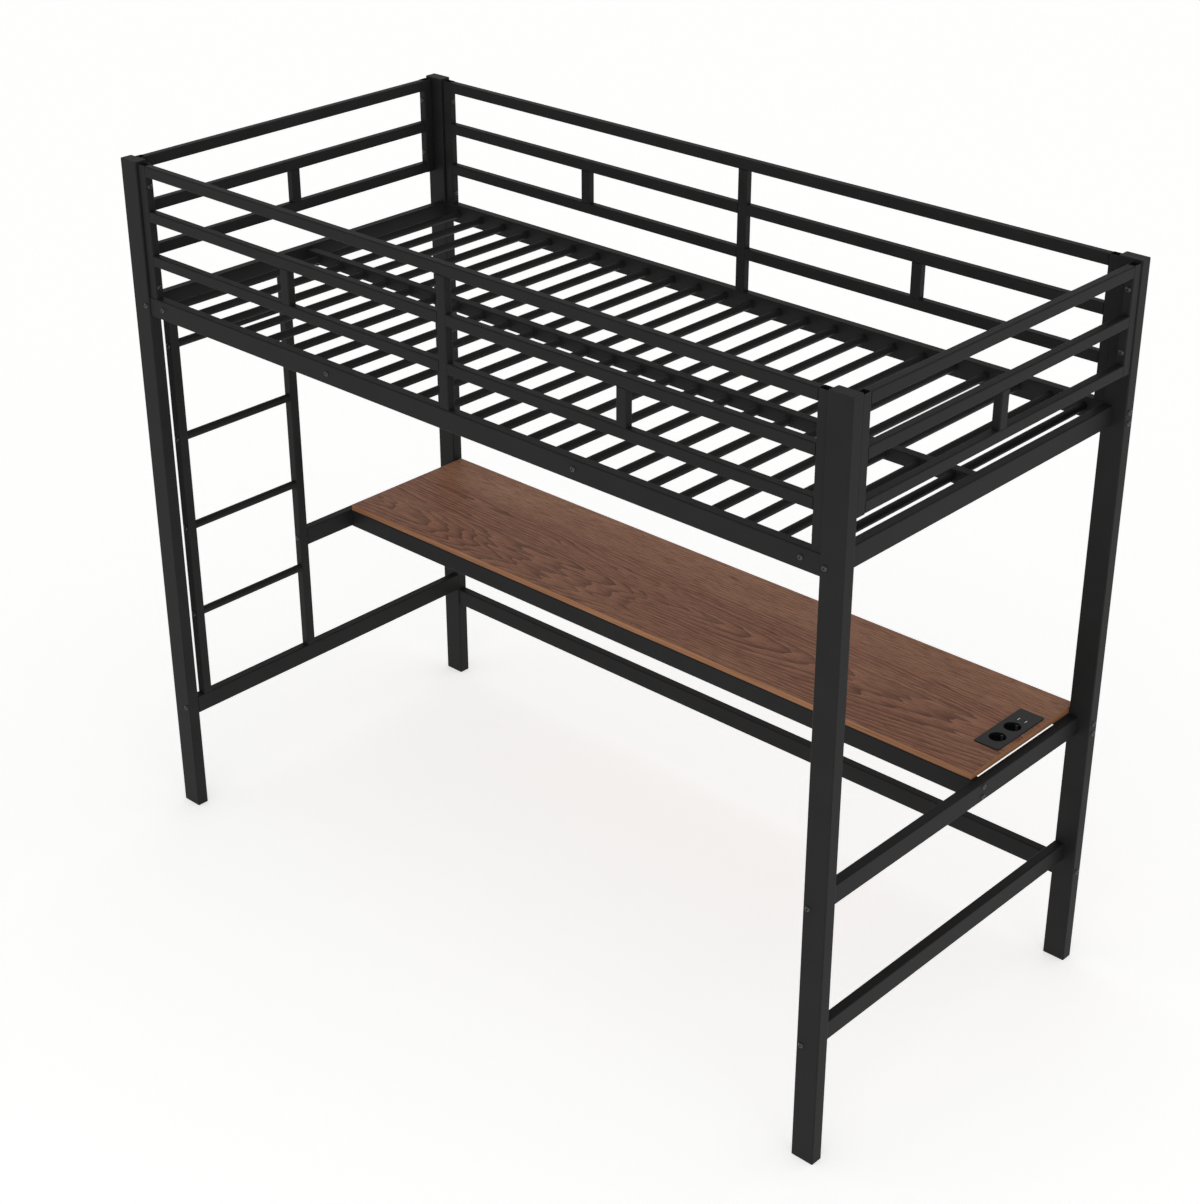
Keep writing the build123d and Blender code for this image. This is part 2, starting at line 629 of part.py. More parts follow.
shell_along = cutout_along - 2 * FIT_GAP
shell_deep = cutout_deep - 2 * FIT_GAP
gland_level = DESK_RAIL_TOP - GLAND_COLLAR / 2 - GLAND_CLEAR
housing_end = OUTLET_Y + shell_deep / 2
with BuildPart() as outlet_housing:
    with BuildSketch(Plane.XY.offset(BOARD_TOP)):
        with Locations((OUTLET_X, OUTLET_Y)):
            RectangleRounded(shell_along, shell_deep, OUTLET_CORNER - HOUSING_RIM)
    extrude(amount=-HOUSING_DROP)
    with BuildSketch(Plane.XY.offset(BOARD_TOP)):
        with Locations((OUTLET_X, OUTLET_Y)):
            Rectangle(shell_along - 2 * HOUSING_WALL, shell_deep - 2 * HOUSING_WALL)
    extrude(amount=HOUSING_WALL - HOUSING_DROP, mode=Mode.SUBTRACT)
    with Locations(facing(OUTLET_X, housing_end, gland_level, (0, 1, 0))):
        Hole(GLAND_NECK / 2 + FIT_GAP, depth=2 * HOUSING_WALL)
write_part("outlet_housing", outlet_housing.part)

with BuildPart() as cord_gland:
    with BuildSketch(Plane.YZ):
        with BuildLine():
            Polyline(
                (-HOUSING_WALL - GLAND_TAIL, GLAND_BORE / 2),
                (GLAND_LONG, GLAND_BORE / 2),
                (GLAND_LONG, GLAND_BORE / 2 + GLAND_LIP),
                (0, GLAND_COLLAR / 2),
                (0, GLAND_NECK / 2),
                (-HOUSING_WALL - GLAND_TAIL, GLAND_NECK / 2),
                close=True,
            )
        make_face()
    revolve(axis=Axis.Y)
gland_plane = Plane(origin=(OUTLET_X, housing_end, gland_level))
write_part("cord_gland", placed(cord_gland.part, [gland_plane])[0])

with BuildPart() as socket_well:
    Cylinder(well_radius + SOCKET_WALL, SOCKET_DEPTH - OUTLET_PROUD + SOCKET_WALL,
             align=(Align.CENTER, Align.CENTER, Align.MAX))
    Cylinder(well_radius, SOCKET_DEPTH - OUTLET_PROUD,
             align=(Align.CENTER, Align.CENTER, Align.MAX), mode=Mode.SUBTRACT)
    with Locations((-PIN_SPACING / 2, 0), (PIN_SPACING / 2, 0)):
        Hole(PIN_HOLE / 2)
for number, (x, y) in enumerate(socket_places, start=1):
    well_plane = Plane(origin=(x, y, BOARD_TOP))
    write_part(f"socket_well_{number}", placed(socket_well.part, [well_plane])[0])

with BuildPart() as pin_sleeve:
    Cylinder(PIN_HOLE / 2 + SLEEVE_WALL, SLEEVE_LONG, align=(Align.CENTER, Align.CENTER, Align.MAX))
    Hole(PIN_HOLE / 2)
sleeve_planes = [
    Plane(origin=(x + shift, y, well_floor - SOCKET_WALL))
    for x, y in socket_places
    for shift in (-PIN_SPACING / 2, PIN_SPACING / 2)
]
write_group("pin_sleeves", placed(pin_sleeve.part, sleeve_planes))

with BuildPart() as earth_clip:
    Box(CLIP_WIDE, CLIP_THICK, CLIP_TALL, align=(Align.CENTER, Align.MIN, Align.MIN))
    fillet(earth_clip.edges().filter_by(Axis.X).sort_by(Axis.Z)[-2:], CLIP_ROUND)
clip_planes = [
    Plane(origin=(x, y + way * (well_radius - CLIP_SET_IN), well_floor), x_dir=(-way, 0, 0), z_dir=(0, 0, 1))
    for x, y in socket_places
    for way in (-1, 1)
]
write_group("earth_clips", placed(earth_clip.part, clip_planes))

with BuildPart() as usb_shell:
    Box(USB_TALL, USB_LONG, USB_DEEP, align=(Align.CENTER, Align.CENTER, Align.MAX))
    Box(USB_TALL - 2 * USB_SKIN, USB_LONG - 2 * USB_SKIN, USB_DEEP - USB_SKIN,
        align=(Align.CENTER, Align.CENTER, Align.MAX), mode=Mode.SUBTRACT)
usb_planes = [Plane(origin=(x, y, BOARD_TOP)) for x, y in usb_places]
write_group("usb_shells", placed(usb_shell.part, usb_planes))

with BuildPart() as usb_tongue:
    with Locations((USB_TALL / 2 - USB_SKIN - TONGUE_OFFSET, 0, USB_SKIN - USB_DEEP)):
        tongue_tall = USB_DEEP - USB_SKIN + OUTLET_PROUD - TONGUE_SETBACK
        Box(TONGUE_THICK, USB_LONG - 3 * USB_SKIN, tongue_tall, align=(Align.MAX, Align.CENTER, Align.MIN))
write_group("usb_tongues", placed(usb_tongue.part, usb_planes))

with BuildPart() as usb_board:
    with Locations((OUTLET_X, OUTLET_Y + USB_SHIFT, BOARD_TOP - USB_DEEP)):
        board_along = shell_along - 2 * HOUSING_WALL - 2 * USB_BOARD_MARGIN
        Box(board_along, USB_BOARD_DEEP, USB_BOARD_THICK,
            align=(Align.CENTER, Align.CENTER, Align.MAX))
write_part("usb_board", usb_board.part)
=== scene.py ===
import math

import bmesh
import bpy
import numpy as np
from mathutils import Matrix, Vector


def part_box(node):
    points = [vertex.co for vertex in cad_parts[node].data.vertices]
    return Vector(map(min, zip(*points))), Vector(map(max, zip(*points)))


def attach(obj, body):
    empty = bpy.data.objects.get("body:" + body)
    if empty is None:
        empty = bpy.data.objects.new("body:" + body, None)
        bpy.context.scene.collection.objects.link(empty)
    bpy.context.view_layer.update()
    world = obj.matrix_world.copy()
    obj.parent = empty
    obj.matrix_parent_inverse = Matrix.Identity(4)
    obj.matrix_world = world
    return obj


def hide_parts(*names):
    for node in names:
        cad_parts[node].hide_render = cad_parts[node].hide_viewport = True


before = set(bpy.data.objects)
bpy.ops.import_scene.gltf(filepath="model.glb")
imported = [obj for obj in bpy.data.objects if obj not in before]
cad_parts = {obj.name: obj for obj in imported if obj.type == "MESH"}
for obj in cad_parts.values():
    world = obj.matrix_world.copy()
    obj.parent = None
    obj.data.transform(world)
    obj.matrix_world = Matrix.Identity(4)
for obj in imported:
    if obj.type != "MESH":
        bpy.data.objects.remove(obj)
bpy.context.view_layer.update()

# The stage: a wide pale floor, an even pale surround that is a little brighter towards the
# horizon than overhead, which does most of the lighting. Two large soft lights low at the right
# and the front only lift the upright faces a little.
FLOOR_HALF = 30.0
STIPPLE_SIZE = 0.004
SOFTBOX_SIZE = 3.2
SOFTBOX_AIM = Vector((0, 0, 0.9))
CAMERA_PLACE = Vector((3.1969, -3.4717, 3.2599))
CAMERA_AZIMUTH = math.radians(42.752)
CAMERA_ELEVATION = math.radians(27.898)
CAMERA_ROLL = math.radians(-0.104)
CAMERA_LENS = 68.35


def linear(code):
    """An sRGB hex colour as linear values with alpha."""
    parts = [int(code[i:i + 2], 16) / 255 for i in (1, 3, 5)]
    return tuple(v / 12.92 if v <= 0.04045 else ((v + 0.055) / 1.055) ** 2.4 for v in parts) + (1.0,)


def add_node(tree, kind, settings=None, inputs=None):
    """Add one node, set its properties, and fill or link its inputs."""
    node = tree.nodes.new(kind)
    for name, value in (settings or {}).items():
        setattr(node, name, value)
    for name, value in (inputs or {}).items():
        if isinstance(value, bpy.types.NodeSocket):
            tree.links.new(value, node.inputs[name])
        else:
            node.inputs[name].default_value = value
    return node


def blank_material(name):
    """A new material and its emptied node tree."""
    material = bpy.data.materials.new(name)
    material.use_nodes = True
    material.node_tree.nodes.clear()
    return material, material.node_tree


# Painted floor: fine roller stipple, which only breaks up the reflection
floor_paint, tree = blank_material("matt_floor_paint")
place = add_node(tree, "ShaderNodeTexCoord")
stipple = add_node(tree, "ShaderNodeTexNoise", inputs={
    "Vector": place.outputs["Object"], "Scale": 1 / STIPPLE_SIZE})
roller = add_node(tree, "ShaderNodeBump", inputs={
    "Height": stipple.outputs["Fac"], "Strength": 0.05, "Distance": 0.0002})
paint = add_node(tree, "ShaderNodeBsdfPrincipled", inputs={
    "Base Color": linear("#f6f6f5"), "Roughness": 0.9, "Specular IOR Level": 0.1,
    "Emission Color": linear("#ffffff"), "Emission Strength": 0.5,
    "Normal": roller.outputs["Normal"]})
add_node(tree, "ShaderNodeOutputMaterial", inputs={"Surface": paint.outputs["BSDF"]})

floor_mesh = bpy.data.meshes.new("floor")
floor_mesh.from_pydata(
    [(-FLOOR_HALF, -FLOOR_HALF, 0), (FLOOR_HALF, -FLOOR_HALF, 0),
     (FLOOR_HALF, FLOOR_HALF, 0), (-FLOOR_HALF, FLOOR_HALF, 0)], [], [(0, 1, 2, 3)])
floor_mesh.materials.append(floor_paint)
floor = bpy.data.objects.new("floor", floor_mesh)
bpy.context.collection.objects.link(floor)

surround = bpy.data.worlds.new("studio_surround")
bpy.context.scene.world = surround
surround.use_nodes = True
tree = surround.node_tree
tree.nodes.clear()
direction = add_node(tree, "ShaderNodeTexCoord")
rise = add_node(tree, "ShaderNodeSeparateXYZ", inputs={"Vector": direction.outputs["Generated"]})
glow = add_node(tree, "ShaderNodeMapRange", inputs={
    "Value": rise.outputs["Z"], "From Min": 0.0, "From Max": 0.8, "To Min": 0.95, "To Max": 0.42})
air = add_node(tree, "ShaderNodeBackground", inputs={
    "Color": (1.0, 1.0, 1.0, 1.0), "Strength": glow.outputs["Result"]})
add_node(tree, "ShaderNodeOutputWorld", inputs={"Surface": air.outputs["Background"]})

for name, spot, power in (
    ("right_softbox", Vector((5.5, -1.5, 1.3)), 30.0),
    ("front_softbox", Vector((2.2, -4.8, 1.4)), 26.0),
):
    lamp = bpy.data.lights.new(name, "AREA")
    lamp.shape = "SQUARE"
    lamp.size = SOFTBOX_SIZE
    lamp.energy = power
    holder = bpy.data.objects.new(name, lamp)
    holder.location = spot
    holder.rotation_euler = (SOFTBOX_AIM - spot).to_track_quat("-Z", "Y").to_euler()
    bpy.context.collection.objects.link(holder)

backward = Vector((
    math.sin(CAMERA_AZIMUTH) * math.cos(CAMERA_ELEVATION),
    -math.cos(CAMERA_AZIMUTH) * math.cos(CAMERA_ELEVATION),
    math.sin(CAMERA_ELEVATION)))
level_right = (-backward).cross(Vector((0, 0, 1))).normalized()
level_up = level_right.cross(-backward)
rolled_right = math.cos(CAMERA_ROLL) * level_right + math.sin(CAMERA_ROLL) * level_up
rolled_up = -math.sin(CAMERA_ROLL) * level_right + math.cos(CAMERA_ROLL) * level_up
camera_data = bpy.data.cameras.new("camera")
camera_data.lens = CAMERA_LENS
camera_data.sensor_width = 36.0
camera_data.clip_end = 100.0
camera = bpy.data.objects.new("camera", camera_data)
turn = Matrix((rolled_right, rolled_up, backward)).transposed().to_4x4()
camera.matrix_world = Matrix.Translation(CAMERA_PLACE) @ turn
bpy.context.collection.objects.link(camera)
bpy.context.scene.camera = camera
bpy.context.scene.view_settings.view_transform = "Standard"

# The four corner posts: rectangular steel tube, cut square, drilled for the bolts, and powder
# coated satin black. The rest of the frame carries the same coat.
PEEL_SIZE = 0.003
CLOUD_SIZE = 0.12


def coat_node(names, material):
    """Give CAD nodes a finish in place of their plain one."""
    for name in names:
        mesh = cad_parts[name].data
        mesh.materials.clear()
        mesh.materials.append(material)


def powder_coat(name, colour, rough, shine=0.08):
    """Polyester powder baked on steel: satin, almost even, with the soft ripple of orange peel,
    drawn at 3 mm so that it shows from a few metres."""
    material, tree = blank_material(name)
    place = add_node(tree, "ShaderNodeTexCoord")
    peel = add_node(tree, "ShaderNodeTexNoise", inputs={
        "Vector": place.outputs["Object"], "Scale": 1 / PEEL_SIZE, "Detail": 2.0, "Roughness": 0.45})
    cloud = add_node(tree, "ShaderNodeTexNoise", inputs={
        "Vector": place.outputs["Object"], "Scale": 1 / CLOUD_SIZE, "Detail": 3.0})
    shade = add_node(tree, "ShaderNodeMapRange", inputs={
        "Value": cloud.outputs["Fac"], "From Min": 0.3, "From Max": 0.7,
        "To Min": 0.88, "To Max": 1.12})
    tint = add_node(tree, "ShaderNodeVectorMath", {"operation": "SCALE"}, {
        0: linear(colour)[:3], "Scale": shade.outputs["Result"]})
    gloss = add_node(tree, "ShaderNodeMapRange", inputs={
        "Value": cloud.outputs["Fac"], "From Min": 0.3, "From Max": 0.7,
        "To Min": rough - 0.04, "To Max": rough + 0.04})
    ripple = add_node(tree, "ShaderNodeBump", inputs={
        "Height": peel.outputs["Fac"], "Strength": 0.22, "Distance": 0.0003})
    coat = add_node(tree, "ShaderNodeBsdfPrincipled", inputs={
        "Base Color": tint.outputs["Vector"], "Roughness": gloss.outputs["Result"],
        "IOR": 1.5, "Specular IOR Level": shine, "Normal": ripple.outputs["Normal"]})
    add_node(tree, "ShaderNodeOutputMaterial", inputs={"Surface": coat.outputs["BSDF"]})
    return material


satin_black = powder_coat("satin_black_powder_coat", "#222222", 0.5)
coat_node(["front_left_post", "front_right_post", "back_left_post", "back_right_post"], satin_black)

# Post feet and top caps: plugs moulded in black polyethylene, pressed into the tube ends. The
# surface is matt from the spark-eroded grain of the mould.


def moulded(name, colour, fineness, depth, rough, shine):
    """Moulded plastic. fineness is grains per metre, depth is the bump's strength and distance,
    and rough is the range that the roughness keeps to."""
    material, tree = blank_material(name)
    place = add_node(tree, "ShaderNodeTexCoord")
    grain = add_node(tree, "ShaderNodeTexNoise", inputs={
        "Vector": place.outputs["Object"], "Scale": fineness, "Detail": 2.0})
    grit = add_node(tree, "ShaderNodeBump", inputs={
        "Height": grain.outputs["Fac"], "Strength": depth[0], "Distance": depth[1]})
    skin = add_node(tree, "ShaderNodeMapRange", inputs={
        "Value": grain.outputs["Fac"], "To Min": rough[0], "To Max": rough[1]})
    plastic = add_node(tree, "ShaderNodeBsdfPrincipled", inputs={
        "Base Color": linear(colour), "Roughness": skin.outputs["Result"],
        "Specular IOR Level": shine, "Normal": grit.outputs["Normal"]})
    add_node(tree, "ShaderNodeOutputMaterial", inputs={"Surface": plastic.outputs["BSDF"]})
    return material


moulded_plastic = moulded(
    "moulded_polyethylene", "#1b1b1c", 900.0, (0.3, 0.0002), (0.52, 0.66), 0.2)
coat_node(["front_left_post_foot", "front_right_post_foot", "back_left_post_foot",
           "back_right_post_foot", "post_top_caps"], moulded_plastic)

# Rails: 47 x 24 mm steel tube along the bed and across its ends, bolted to the posts through
# threaded blocks in their ends. Same coat as the posts.
coat_node(["front_side_rail", "back_side_rail", "back_lower_rail", "front_desk_rail",
           "back_desk_rail", "left_deck_rail", "right_deck_rail", "left_lower_rail",
           "right_lower_rail", "left_desk_rail", "right_desk_rail"], satin_black)

# Guards: frames of 26 x 20 mm tube, butt jointed and welded, one along each side and one across
# each end. Their end bars are bolted to the posts from inside.
coat_node(["front_guard", "back_guard", "left_end_guard", "right_end_guard"], satin_black)

# Deck: a middle beam on two brackets, and round steel slats from the beam to the side rails,
# each welded all round where it meets the beam, with a low bead.
SLAT_RADIUS = 0.0095
SLAT_COUNT = 24
BEAD_RADIUS = 0.0015
SHARP_ANGLE = math.radians(38)
coat_node(["centre_beam", "beam_brackets"], satin_black)


def new_tree(name, sizes):
    """A Geometry Nodes tree with named inputs, given as (name, kind of socket)."""
    tree = bpy.data.node_groups.new(name, "GeometryNodeTree")
    tree.interface.new_socket(name="Geometry", in_out="INPUT", socket_type="NodeSocketGeometry")
    for size_name, kind in sizes:
        tree.interface.new_socket(name=size_name, in_out="INPUT", socket_type=kind)
    tree.interface.new_socket(name="Geometry", in_out="OUTPUT", socket_type="NodeSocketGeometry")
    return tree, tree.nodes.new("NodeGroupInput"), tree.nodes.new("NodeGroupOutput")


def grow(name, tree, values, base=None):
    """Run a tree on a base mesh and return its result as a plain mesh object at the origin."""
    source = bpy.data.objects.new(name + "_source", base or bpy.data.meshes.new(name + "_source"))
    bpy.context.collection.objects.link(source)
    modifier = source.modifiers.new("grow", "NODES")
    modifier.node_group = tree
    for item in tree.interface.items_tree:
        if item.in_out == "INPUT" and item.name in values:
            modifier[item.identifier] = values[item.name]
    bpy.context.view_layer.update()
    graph = bpy.context.evaluated_depsgraph_get()
    mesh = bpy.data.meshes.new_from_object(source.evaluated_get(graph))
    bpy.data.objects.remove(source)
    shell = bmesh.new()
    shell.from_mesh(mesh)
    bmesh.ops.remove_doubles(shell, verts=shell.verts, dist=1e-6)
    bmesh.ops.recalc_face_normals(shell, faces=shell.faces)
    shell.to_mesh(mesh)
    shell.free()
    mesh.polygons.foreach_set("use_smooth", [True] * len(mesh.polygons))
    mesh.set_sharp_from_angle(angle=SHARP_ANGLE)
    piece = bpy.data.objects.new(name, mesh)
    bpy.context.collection.objects.link(piece)
    return piece


def row_points(tree, given):
    """Evenly stepped points for a row."""
    return add_node(tree, "GeometryNodeMeshLine", {"mode": "OFFSET"}, {
        "Count": given.outputs["Count"], "Start Location": given.outputs["Start"],
        "Offset": given.outputs["Step"]}).outputs["Mesh"]


def close_tree(tree, given, result, row):
    """Make a tree's instances real, coat them, and hand them to its output."""
    solid = add_node(tree, "GeometryNodeRealizeInstances", inputs={"Geometry": row})
    coated = add_node(tree, "GeometryNodeSetMaterial", inputs={
        "Geometry": solid.outputs["Geometry"], "Material": given.outputs["Material"]})
    tree.links.new(coated.outputs["Geometry"], result.inputs["Geometry"])


# One row of round bars: a line of points, with one bar on each
bar_tree, given, result = new_tree("round_bars", [
    ("Count", "NodeSocketInt"), ("Start", "NodeSocketVector"), ("Step", "NodeSocketVector"),
    ("Reach", "NodeSocketVector"), ("Radius", "NodeSocketFloat"), ("Sides", "NodeSocketInt"),
    ("Material", "NodeSocketMaterial")])
run = add_node(bar_tree, "GeometryNodeCurvePrimitiveLine", inputs={"End": given.outputs["Reach"]})
ring = add_node(bar_tree, "GeometryNodeCurvePrimitiveCircle", inputs={
    "Resolution": given.outputs["Sides"], "Radius": given.outputs["Radius"]})
bar = add_node(bar_tree, "GeometryNodeCurveToMesh", inputs={
    "Curve": run.outputs["Curve"], "Profile Curve": ring.outputs["Curve"], "Fill Caps": True})
row = add_node(bar_tree, "GeometryNodeInstanceOnPoints", inputs={
    "Points": row_points(bar_tree, given), "Instance": bar.outputs["Mesh"]})
close_tree(bar_tree, given, result, row.outputs["Instances"])

# Weld beads: small rings round the bars, where they meet the tube that they are welded to
bead_tree, given, result = new_tree("weld_beads", [
    ("Count", "NodeSocketInt"), ("Start", "NodeSocketVector"), ("Step", "NodeSocketVector"),
    ("Turn", "NodeSocketVector"), ("Radius", "NodeSocketFloat"), ("Bead", "NodeSocketFloat"),
    ("Material", "NodeSocketMaterial")])
path = add_node(bead_tree, "GeometryNodeCurvePrimitiveCircle", inputs={
    "Resolution": 24, "Radius": given.outputs["Radius"]})
section = add_node(bead_tree, "GeometryNodeCurvePrimitiveCircle", inputs={
    "Resolution": 8, "Radius": given.outputs["Bead"]})
bead = add_node(bead_tree, "GeometryNodeCurveToMesh", inputs={
    "Curve": path.outputs["Curve"], "Profile Curve": section.outputs["Curve"]})
row = add_node(bead_tree, "GeometryNodeInstanceOnPoints", inputs={
    "Points": row_points(bead_tree, given), "Instance": bead.outputs["Mesh"],
    "Rotation": given.outputs["Turn"]})
close_tree(bead_tree, given, result, row.outputs["Instances"])

for node, beam_is_behind in (("front_slats", True), ("back_slats", False)):
    low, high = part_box(node)
    level = (low.z + high.z) / 2
    first = low.x + SLAT_RADIUS
    pitch = (high.x - low.x - 2 * SLAT_RADIUS) / (SLAT_COUNT - 1)
    bars = grow(node + "_round", bar_tree, {
        "Count": SLAT_COUNT, "Start": (first, low.y, level), "Step": (pitch, 0.0, 0.0),
        "Reach": (0.0, high.y - low.y, 0.0), "Radius": SLAT_RADIUS, "Sides": 32,
        "Material": satin_black})
    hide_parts(node)
    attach(bars, "root")
    inner = high.y if beam_is_behind else low.y
    toward = -1 if beam_is_behind else 1
    beads = grow(node + "_welds", bead_tree, {
        "Count": SLAT_COUNT, "Start": (first, inner + toward * BEAD_RADIUS / 2, level),
        "Step": (pitch, 0.0, 0.0), "Turn": (math.pi / 2, 0.0, 0.0),
        "Radius": SLAT_RADIUS, "Bead": BEAD_RADIUS, "Material": satin_black})
    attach(beads, "root")

# Ladder: two square steel stringers welded to the end rails, and four round rungs between them,
# each bolted from the outside of the stringers.
coat_node(["ladder_front_stringer", "ladder_back_stringer"], satin_black)
low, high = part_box("ladder_rung_1")
above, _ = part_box("ladder_rung_2")
rungs = grow("ladder_rungs", bar_tree, {
    "Count": 4, "Start": ((low.x + high.x) / 2, low.y, (low.z + high.z) / 2),
    "Step": (0.0, 0.0, above.z - low.z), "Reach": (0.0, high.y - low.y, 0.0),
    "Radius": (high.z - low.z) / 2, "Sides": 40, "Material": satin_black})
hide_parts("ladder_rung_1", "ladder_rung_2", "ladder_rung_3", "ladder_rung_4")
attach(rungs, "root")

# Bolts: domed socket heads in black oxide steel, 13 mm across, with a 4 mm hexagon socket and a
# 6 mm shank. Each stands where the frame is drilled for it, its dome outwards.
HEAD_RADIUS = 0.0065
HEAD_RISE = 0.0035
HEX_FLATS = 0.004
HEX_DEEP = 0.002
SHANK_RADIUS = 0.003
SHANK_CHAMFER = 0.0006
RIM_BEVEL = 0.0001
black_oxide = powder_coat("black_oxide_steel", "#1b1b1e", 0.3, 0.6)


def bolt_mesh(reach):
    """A bolt with its seat on the origin: dome, hexagon socket with a bevelled rim, and shank."""
    sides = 36
    hex_radius = HEX_FLATS / math.sqrt(3)
    outline = [
        (HEAD_RADIUS * 0.42, HEAD_RISE), (HEAD_RADIUS * 0.62, HEAD_RISE * 0.93),
        (HEAD_RADIUS * 0.82, HEAD_RISE * 0.68), (HEAD_RADIUS * 0.95, HEAD_RISE * 0.36),
        (HEAD_RADIUS, HEAD_RISE * 0.14), (HEAD_RADIUS, 0.0), (SHANK_RADIUS, 0.0),
        (SHANK_RADIUS, SHANK_CHAMFER - reach), (SHANK_RADIUS - SHANK_CHAMFER, -reach)]
    shell = bmesh.new()
    rings = []
    for radius, height in outline:
        rings.append([shell.verts.new((
            radius * math.cos(2 * math.pi * k / sides), radius * math.sin(2 * math.pi * k / sides),
            height)) for k in range(sides)])
    for upper, lower in zip(rings, rings[1:]):
        for k in range(sides):
            shell.faces.new((upper[k], lower[k], lower[(k + 1) % sides], upper[(k + 1) % sides]))
    shell.faces.new(rings[-1])

    def hexagon(height):
        """A ring of vertices on the hexagon's outline."""
        ring = []
        for k in range(sides):
            angle = 2 * math.pi * k / sides
            sector = (angle + math.pi / 6) % (math.pi / 3) - math.pi / 6
            radius = hex_radius * math.cos(math.pi / 6) / math.cos(sector)
            ring.append(shell.verts.new((radius * math.cos(angle), radius * math.sin(angle), height)))
        return ring

    rim = hexagon(HEAD_RISE - RIM_BEVEL)
    floor_ring = hexagon(HEAD_RISE - HEX_DEEP)
    for outer, inner in ((rings[0], rim), (rim, floor_ring)):
        for k in range(sides):
            shell.faces.new((outer[k], outer[(k + 1) % sides], inner[(k + 1) % sides], inner[k]))
    shell.faces.new(floor_ring)
    bmesh.ops.recalc_face_normals(shell, faces=shell.faces)
    mesh = bpy.data.meshes.new("bolt")
    shell.to_mesh(mesh)
    shell.free()
    return mesh


def bolt_seats(node):
    """Where each bolt of a CAD node sits, the way that its head faces, and its shank's length."""
    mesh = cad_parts[node].data
    spots = np.array([v.co for v in mesh.vertices])
    _, same = np.unique(np.round(spots, 6), axis=0, return_inverse=True)
    same = same.ravel()
    leader = list(range(same.max() + 1))

    def root_of(k):
        """The one vertex that stands for all that k hangs together with."""
        while leader[k] != k:
            leader[k] = leader[leader[k]]
            k = leader[k]
        return k

    for face in mesh.polygons:
        first = root_of(same[face.vertices[0]])
        for corner in face.vertices[1:]:
            leader[root_of(same[corner])] = first
    group = np.array([root_of(k) for k in same])
    found = []
    for label in np.unique(group):
        cloud = spots[group == label]
        low, high = cloud.min(0), cloud.max(0)
        along = int(np.argmax(high - low))
        middle = (low + high) / 2
        off = np.linalg.norm(np.delete(cloud - middle, along, axis=1), axis=1)
        wide = cloud[off > HEAD_RADIUS * 0.9][:, along]
        sign = 1 if wide.mean() > middle[along] else -1
        way = np.zeros(3)
        way[along] = sign
        seat = middle.copy()
        seat[along] = (high if sign > 0 else low)[along] - sign * HEAD_RISE
        found.append((seat, way, (high - low)[along] - HEAD_RISE))
    return found


bolt_tree, given, result = new_tree("bolts", [
    ("Bolt", "NodeSocketObject"), ("Size", "NodeSocketFloat"), ("Material", "NodeSocketMaterial")])
model = add_node(bolt_tree, "GeometryNodeObjectInfo", inputs={"Object": given.outputs["Bolt"]})
facing = add_node(bolt_tree, "GeometryNodeInputNamedAttribute", {
    "data_type": "FLOAT_VECTOR"}, {"Name": "way"})
aim = add_node(bolt_tree, "FunctionNodeAlignRotationToVector", {"axis": "Z"}, {
    "Vector": facing.outputs["Attribute"]})
set_bolts = add_node(bolt_tree, "GeometryNodeInstanceOnPoints", inputs={
    "Points": given.outputs["Geometry"], "Instance": model.outputs["Geometry"],
    "Rotation": aim.outputs["Rotation"], "Scale": given.outputs["Size"]})
close_tree(bolt_tree, given, result, set_bolts.outputs["Instances"])

for node in ("front_post_bolts", "rear_post_bolts", "end_post_bolts", "guard_bolts", "slat_bolts",
             "rung_bolts", "desk_rail_bolts", "beam_bolts"):
    seats = bolt_seats(node)
    points = bpy.data.meshes.new(node + "_points")
    points.from_pydata([tuple(seat) for seat, _, _ in seats], [], [])
    ways = points.attributes.new("way", "FLOAT_VECTOR", "POINT")
    ways.data.foreach_set("vector", np.array([way for _, way, _ in seats]).ravel())
    pattern = bpy.data.objects.new(node + "_pattern", bolt_mesh(float(seats[0][2])))
    bpy.context.collection.objects.link(pattern)
    bolts = grow(node + "_domed", bolt_tree, {
        "Bolt": pattern, "Size": 1.0, "Material": black_oxide}, points)
    bpy.data.objects.remove(pattern)
    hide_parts(node)
    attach(bolts, "root")

# Hidden fasteners: threaded blocks in the rail ends, plugs in the slats and rungs, plates in the
# posts, and the screws up through the desk rails. Zinc plated, with the faint spangle of plating.
zinc_plate, tree = blank_material("zinc_plated_steel")
place = add_node(tree, "ShaderNodeTexCoord")
spangle = add_node(tree, "ShaderNodeTexVoronoi", inputs={
    "Vector": place.outputs["Object"], "Scale": 500.0})
haze = add_node(tree, "ShaderNodeMapRange", inputs={
    "Value": spangle.outputs["Distance"], "From Max": 0.8, "To Min": 0.28, "To Max": 0.44})
zinc = add_node(tree, "ShaderNodeBsdfPrincipled", inputs={
    "Base Color": linear("#b9bcc0"), "Metallic": 1.0, "Roughness": haze.outputs["Result"]})
add_node(tree, "ShaderNodeOutputMaterial", inputs={"Surface": zinc.outputs["BSDF"]})
coat_node(["rail_end_nuts", "side_rail_end_nuts", "slat_end_plugs", "rung_end_plugs",
           "post_nut_plates", "board_screws", "earth_clips", "usb_shells"], zinc_plate)

# Desk board: 15 mm particle board faced with a printed and embossed wood grain. Grain runs along
# the board: long nested arches on the front planks, straighter and paler wood at the back, with
# fine dark pores. Behind PLANK_LINE, a share of the board's depth, the back plank begins.
PORE_LONG = 0.04
PORE_WIDE = 0.001
PLANK_LINE = 0.66
PLANK_BLEND = 0.04
board_low, board_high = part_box("desk_board")
board_deep = board_high.y - board_low.y
laminate, tree = blank_material("wood_grain_laminate")
place = add_node(tree, "ShaderNodeTexCoord")


